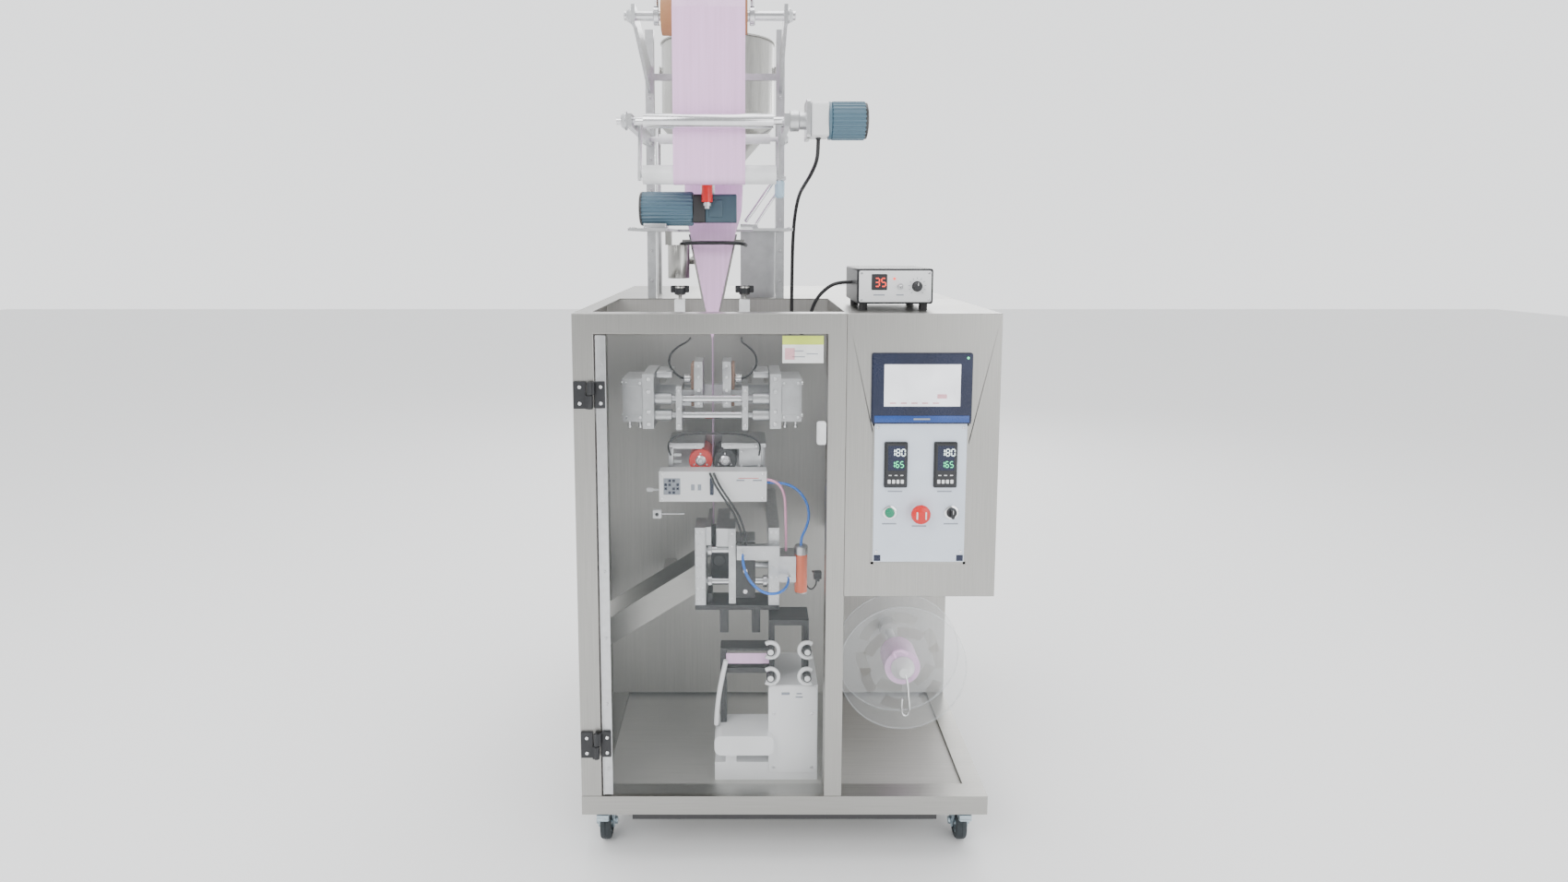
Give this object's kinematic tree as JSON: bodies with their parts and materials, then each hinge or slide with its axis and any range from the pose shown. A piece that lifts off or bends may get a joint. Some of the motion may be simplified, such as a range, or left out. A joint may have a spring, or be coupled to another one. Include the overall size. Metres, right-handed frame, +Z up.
{
  "type": "vertical form fill sealer",
  "caption": "Upright sachet machine: film roll and hopper above a steel cabinet with sealing jaws, pull rollers, cutter, coder, chute and touch panel, on casters.",
  "frame": {"origin": "on the floor under the middle of the machine", "axes": "+Z up, +X to the right seen from the front, +Y from the front to the back"},
  "size_m": [0.8787, 1.059, 1.8886],
  "materials": {
    "stainless": "brushed",
    "black_steel": "satin",
    "black_plastic": "matte",
    "grey_electrics": "matte",
    "panel_white": "satin",
    "dark_bezel": "gloss",
    "screen_glass": "gloss",
    "aluminium": "satin",
    "motor_blue": "satin",
    "coder_white": "satin",
    "black_cable": "matte",
    "blue_hose": "gloss",
    "pink_film": "gloss",
    "clear_acrylic": "gloss",
    "green_key": "gloss",
    "red_key": "gloss",
    "bright_metal": "polished",
    "roller_white": "satin",
    "red_silicone": "satin",
    "dark_rubber": "matte",
    "clear_disc": "gloss",
    "zinc_blue": "satin",
    "dark_tyre": "matte"
  },
  "bodies": {
    "cabinet": {"base_frame": "stainless", "base_subframe": "black_steel", "bulkhead": "stainless", "cabinet_frame": "stainless", "cabinet_skins": "stainless", "coder_body": "coder_white", "coder_frame": "black_steel", "control_box": "stainless", "control_panel": "panel_white", "cutter_frame": "aluminium", "desk_unit_cable": "black_cable", "desk_unit_shell": "black_plastic", "discharge_chute": "stainless", "door_hinge_post_leaves": "black_plastic", "dosing_line": "stainless", "electrics_plate": "grey_electrics", "film_former": "stainless", "film_web": "pink_film", "floor_tray": "stainless", "hopper": "stainless", "jaw_hose": "blue_hose", "loop_hose": "blue_hose", "pull_cover": "coder_white", "pull_frame": "aluminium", "pump_drive": "motor_blue", "screen_bezel": "dark_bezel", "sealer_frame": "aluminium", "temperature_controllers": "black_plastic", "touch_screen": "screen_glass", "tower_frame": "aluminium", "unwind_cable": "black_cable", "unwind_motor": "motor_blue"},
    "front_door": {"front_door": "clear_acrylic", "door_fittings": "black_plastic"},
    "rear_door": {"rear_door": "stainless"},
    "start_button": {"start_key": "green_key"},
    "emergency_stop": {"stop_mushroom": "red_key"},
    "selector": {"selector_knob": "black_plastic"},
    "unit_dial": {"desk_unit_dial": "black_plastic"},
    "unit_toggle": {"desk_unit_toggle": "bright_metal"},
    "unwind": {"unwind_shaft": "bright_metal", "film_roll": "pink_film"},
    "drive_roller": {"drive_roller": "bright_metal"},
    "dancer": {"dancer_arm": "aluminium"},
    "dancer_roller": {"dancer_roller": "roller_white"},
    "guide_roller": {"guide_roller": "roller_white"},
    "seal_left": {"seal_bar_left": "aluminium"},
    "seal_right": {"seal_bar_right": "aluminium"},
    "pull_left": {"pull_roller_left": "red_silicone"},
    "pull_right": {"pull_roller_right": "dark_rubber"},
    "cutter_jaw": {"cutter_jaw": "aluminium"},
    "takeup_reel": {"takeup_reel": "clear_disc"},
    "caster_front_left": {"caster_fork_front_left": "zinc_blue"},
    "wheel_front_left": {"caster_wheel_front_left": "dark_tyre"},
    "caster_front_right": {"caster_fork_front_right": "zinc_blue"},
    "wheel_front_right": {"caster_wheel_front_right": "dark_tyre"},
    "caster_rear_left": {"caster_fork_rear_left": "zinc_blue"},
    "wheel_rear_left": {"caster_wheel_rear_left": "dark_tyre"},
    "caster_rear_right": {"caster_fork_rear_right": "zinc_blue"},
    "wheel_rear_right": {"caster_wheel_rear_right": "dark_tyre"}
  },
  "joints": [
    {"name": "front_door_swing", "type": "hinge", "parent": "cabinet", "child": "front_door", "pos_m": [-0.402, -0.508, 0.65], "axis": [0, 0, -1], "range_deg": [0, 110]},
    {"name": "rear_door_swing", "type": "hinge", "parent": "cabinet", "child": "rear_door", "pos_m": [-0.354, 0.506, 0.67], "axis": [0, 0, 1], "range_deg": [0, 110]},
    {"name": "start_button_press", "type": "slide", "parent": "cabinet", "child": "start_button", "axis": [0, 1, 0], "range_m": [0, 0.004], "stiffness_N_per_m": 600, "springref_m": -0.002},
    {"name": "emergency_stop_press", "type": "slide", "parent": "cabinet", "child": "emergency_stop", "axis": [0, 1, 0], "range_m": [0, 0.006], "stiffness_N_per_m": 800, "springref_m": -0.002},
    {"name": "selector_turn", "type": "hinge", "parent": "cabinet", "child": "selector", "pos_m": [0.342, -0.5, 0.782], "axis": [0, 1, 0], "range_deg": [-45, 45]},
    {"name": "unit_dial_turn", "type": "hinge", "parent": "cabinet", "child": "unit_dial", "pos_m": [0.276, -0.43, 1.246], "axis": [0, 1, 0], "range_deg": [-140, 140]},
    {"name": "unit_toggle_flip", "type": "hinge", "parent": "cabinet", "child": "unit_toggle", "pos_m": [0.24, -0.434, 1.246], "axis": [1, 0, 0], "range_deg": [-12, 12]},
    {"name": "front_left_swivel", "type": "hinge", "parent": "cabinet", "child": "caster_front_left", "pos_m": [-0.397, -0.44, 0.1], "axis": [0, 0, 1], "continuous": true},
    {"name": "front_left_roll", "type": "hinge", "parent": "caster_front_left", "child": "wheel_front_left", "pos_m": [-0.397, -0.418, 0.0375], "axis": [1, 0, 0], "continuous": true},
    {"name": "front_right_swivel", "type": "hinge", "parent": "cabinet", "child": "caster_front_right", "pos_m": [0.397, -0.44, 0.1], "axis": [0, 0, 1], "continuous": true},
    {"name": "front_right_roll", "type": "hinge", "parent": "caster_front_right", "child": "wheel_front_right", "pos_m": [0.397, -0.418, 0.0375], "axis": [1, 0, 0], "continuous": true},
    {"name": "rear_left_swivel", "type": "hinge", "parent": "cabinet", "child": "caster_rear_left", "pos_m": [-0.397, 0.44, 0.1], "axis": [0, 0, 1], "continuous": true},
    {"name": "rear_left_roll", "type": "hinge", "parent": "caster_rear_left", "child": "wheel_rear_left", "pos_m": [-0.397, 0.462, 0.0375], "axis": [1, 0, 0], "continuous": true},
    {"name": "rear_right_swivel", "type": "hinge", "parent": "cabinet", "child": "caster_rear_right", "pos_m": [0.397, 0.44, 0.1], "axis": [0, 0, 1], "continuous": true},
    {"name": "rear_right_roll", "type": "hinge", "parent": "caster_rear_right", "child": "wheel_rear_right", "pos_m": [0.397, 0.462, 0.0375], "axis": [1, 0, 0], "continuous": true},
    {"name": "unwind_spin", "type": "hinge", "parent": "cabinet", "child": "unwind", "pos_m": [-0.16, -0.35, 1.815], "axis": [1, 0, 0], "continuous": true},
    {"name": "drive_roller_spin", "type": "hinge", "parent": "cabinet", "child": "drive_roller", "pos_m": [-0.16, -0.44, 1.585], "axis": [1, 0, 0], "continuous": true},
    {"name": "dancer_swing", "type": "hinge", "parent": "cabinet", "child": "dancer", "pos_m": [-0.16, -0.382, 1.585], "axis": [1, 0, 0], "range_deg": [-10, 35], "deforming": ["film_web"]},
    {"name": "dancer_roller_spin", "type": "hinge", "parent": "dancer", "child": "dancer_roller", "pos_m": [-0.16, -0.403, 1.479], "axis": [1, 0, 0], "continuous": true},
    {"name": "guide_roller_spin", "type": "hinge", "parent": "cabinet", "child": "guide_roller", "pos_m": [-0.16, -0.108, 1.585], "axis": [1, 0, 0], "continuous": true},
    {"name": "seal_left_close", "type": "slide", "parent": "cabinet", "child": "seal_left", "axis": [1, 0, 0], "range_m": [0, 0.02]},
    {"name": "seal_right_close", "type": "slide", "parent": "cabinet", "child": "seal_right", "axis": [-1, 0, 0], "range_m": [0, 0.02]},
    {"name": "pull_left_spin", "type": "hinge", "parent": "cabinet", "child": "pull_left", "pos_m": [-0.1879, -0.25, 0.838], "axis": [0, 1, 0], "continuous": true},
    {"name": "pull_right_spin", "type": "hinge", "parent": "cabinet", "child": "pull_right", "pos_m": [-0.1321, -0.25, 0.838], "axis": [0, 1, 0], "continuous": true},
    {"name": "cutter_close", "type": "slide", "parent": "cabinet", "child": "cutter_jaw", "axis": [-1, 0, 0], "range_m": [0, 0.007]},
    {"name": "reel_spin", "type": "hinge", "parent": "cabinet", "child": "takeup_reel", "pos_m": [0.288, -0.25, 0.333], "axis": [0, 1, 0], "continuous": true}
  ],
  "couplings": [
    {"joint": "seal_right_close", "follows": "seal_left_close", "ratio": 1},
    {"joint": "pull_right_spin", "follows": "pull_left_spin", "ratio": -1}
  ]
}
